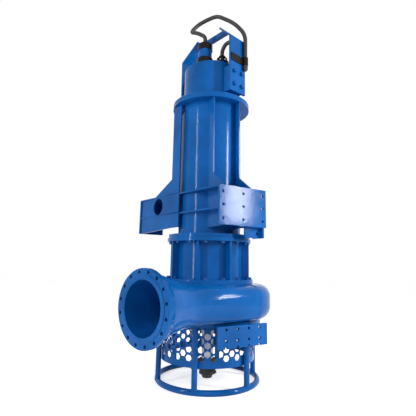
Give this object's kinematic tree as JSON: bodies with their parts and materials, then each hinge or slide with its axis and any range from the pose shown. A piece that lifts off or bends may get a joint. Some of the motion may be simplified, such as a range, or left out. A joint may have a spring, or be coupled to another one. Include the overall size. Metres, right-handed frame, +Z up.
{
  "type": "slurry pump",
  "caption": "Vertical submersible slurry pump with a motor, oil chamber, spiral casing, side discharge flange, suction strainer, agitator, mounting plates and lifting bail.",
  "frame": {"origin": "on the floor under the base ring, on the line of the shaft", "axes": "+Z up along the shaft; the two bolted mounting plates face -Y; +X is to the right seen from in front of the plates"},
  "size_m": [1.5951, 1.5772, 3.7866],
  "materials": {
    "blue_paint": "glossy blue enamel on welded steel",
    "blue_cast_paint": "glossy blue enamel on cast iron",
    "painted_fastener": "hexagon fasteners painted over with the casing",
    "gland_blue": "satin blue gland body",
    "black_housing": "satin black painted gland rings and clamp",
    "black_rubber": "matt black rubber",
    "bright_steel": "machined steel",
    "black_iron": "dark cast hard iron",
    "wear_iron": "as-cast high-chrome iron",
    "lamination_steel": "laminated electrical steel",
    "copper_winding": "varnished copper winding"
  },
  "bodies": {
    "casing": {"base_ring": "blue_paint", "stand_legs": "blue_paint", "strainer_screen": "blue_paint", "strainer_rim": "blue_paint", "suction_cover": "blue_cast_paint", "suction_cover_bolts": "painted_fastener", "volute_casing": "blue_cast_paint", "discharge_flange": "blue_cast_paint", "oil_chamber": "blue_paint", "lower_flange_bolts": "painted_fastener", "upper_flange_bolts": "painted_fastener", "motor_base": "blue_paint", "motor_barrel": "blue_paint", "motor_top_flange": "blue_paint", "stator_core": "lamination_steel", "stator_windings": "copper_winding", "lower_bearing": "bright_steel", "upper_bearing": "bright_steel", "seal_seat": "bright_steel", "upper_seal": "black_rubber", "bracket_front_webs": "blue_paint", "bracket_side_webs": "blue_paint", "bracket_top_deck": "blue_paint", "bracket_mid_deck": "blue_paint", "front_mounting_plate": "blue_paint", "rear_end_plates": "blue_paint", "bracket_foot": "blue_paint", "lower_mounting_plate": "blue_paint", "lower_plate_gussets": "blue_paint", "junction_chamber": "blue_paint", "chamber_lid": "blue_paint", "power_gland_body": "gland_blue", "power_gland_rings": "black_housing", "control_gland": "black_housing", "gland_bolts": "bright_steel", "power_cable": "black_rubber", "control_cable": "black_rubber", "lifting_bail": "blue_paint", "lifting_bar": "blue_paint", "bail_lugs": "blue_paint", "bail_bolts": "painted_fastener", "cable_clamp": "black_housing", "cable_end_cap": "black_rubber"},
    "rotor": {"drive_shaft": "bright_steel", "rotor_core": "lamination_steel", "impeller": "wear_iron", "impeller_nut": "bright_steel", "agitator": "black_iron", "seal_ring": "bright_steel"}
  },
  "joints": [
    {"name": "shaft_spin", "type": "hinge", "parent": "casing", "child": "rotor", "pos_m": [0, 0, 0.5], "axis": [0, 0, -1], "continuous": true}
  ]
}
